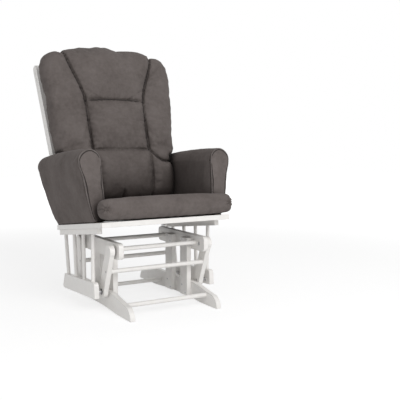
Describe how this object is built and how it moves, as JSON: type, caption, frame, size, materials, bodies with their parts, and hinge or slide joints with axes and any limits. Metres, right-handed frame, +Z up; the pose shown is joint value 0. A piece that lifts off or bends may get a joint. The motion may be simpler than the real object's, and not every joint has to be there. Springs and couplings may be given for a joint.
{
  "type": "glider nursery chair",
  "caption": "Upholstered glider chair: padded arms and back on a white slatted frame that swings on links from a fixed base.",
  "frame": {"origin": "under the middle of the chair on the floor, halfway between the front ends of the runners and the rear corners of the stile tops", "axes": "+X to the sitter's left, the sitter faces -Y, +Z up"},
  "size_m": [0.655, 0.8336, 1.0867],
  "materials": {
    "painted_wood": "smooth white satin paint on hardwood",
    "upholstery": "warm grey brushed cloth, matte, with self piping",
    "steel": "zinc plated, satin",
    "webbing": "woven elastic webbing, dark",
    "plywood": "bare plywood inside the arms"
  },
  "bodies": {
    "base": {"runner_left": "painted_wood", "runner_right": "painted_wood", "front_post_left": "painted_wood", "front_post_right": "painted_wood", "rear_post_left": "painted_wood", "rear_post_right": "painted_wood", "hanger_rail_left": "painted_wood", "hanger_rail_right": "painted_wood", "front_top_crossbar": "painted_wood", "rear_top_crossbar": "painted_wood", "front_floor_crossbar": "painted_wood", "rear_floor_crossbar": "painted_wood", "post_screws": "steel", "upper_pivot_bolts": "steel", "upper_pivot_spacers": "steel", "upper_bearing_inner_rings": "steel"},
    "front_links": {"front_link_left": "painted_wood", "front_link_right": "painted_wood", "front_tie_bar": "painted_wood", "front_tie_bolts": "steel", "front_bearing_outer_rings": "steel", "front_bearing_balls": "steel"},
    "rear_links": {"rear_link_left": "painted_wood", "rear_link_right": "painted_wood", "rear_tie_bar": "painted_wood", "rear_tie_bolts": "steel", "rear_bearing_outer_rings": "steel", "rear_bearing_balls": "steel"},
    "seat": {"side_board_left": "painted_wood", "side_board_right": "painted_wood", "seat_front_rail": "painted_wood", "seat_rear_rail": "painted_wood", "upper_side_rail_left": "painted_wood", "upper_side_rail_right": "painted_wood", "bottom_side_rail_left": "painted_wood", "bottom_side_rail_right": "painted_wood", "side_spindles_left": "painted_wood", "side_spindles_right": "painted_wood", "seat_webbing": "webbing", "lower_pivot_bolts": "steel", "lower_pivot_spacers": "steel", "lower_bearing_inner_rings": "steel", "back_stile_left": "painted_wood", "back_stile_right": "painted_wood", "crest_rail": "painted_wood", "lower_back_rail": "painted_wood", "back_spindle_set": "painted_wood", "back_frame_bolts": "steel", "arm_board_left": "plywood", "arm_board_right": "plywood", "arm_screws": "steel", "arm_pad_left": "upholstery", "arm_pad_right": "upholstery", "seat_cushion": "upholstery", "back_cushion": "upholstery"}
  },
  "joints": [
    {"name": "front_link_swing", "type": "hinge", "parent": "base", "child": "front_links", "pos_m": [0, -0.27676, 0.244], "axis": [1, 0, 0], "range_deg": [-18, 6]},
    {"name": "rear_link_swing", "type": "hinge", "parent": "base", "child": "rear_links", "pos_m": [0, 0.04324, 0.244], "axis": [1, 0, 0], "range_deg": [-17.45, 5.85]},
    {"name": "seat_glide", "type": "hinge", "parent": "front_links", "child": "seat", "pos_m": [0, -0.20712, 0.07585], "axis": [1, 0, 0], "range_deg": [-8.19, 24.47]}
  ],
  "couplings": [
    {"joint": "rear_link_swing", "follows": "front_link_swing", "ratio": 0.967},
    {"joint": "seat_glide", "follows": "front_link_swing", "ratio": -1.3536}
  ]
}
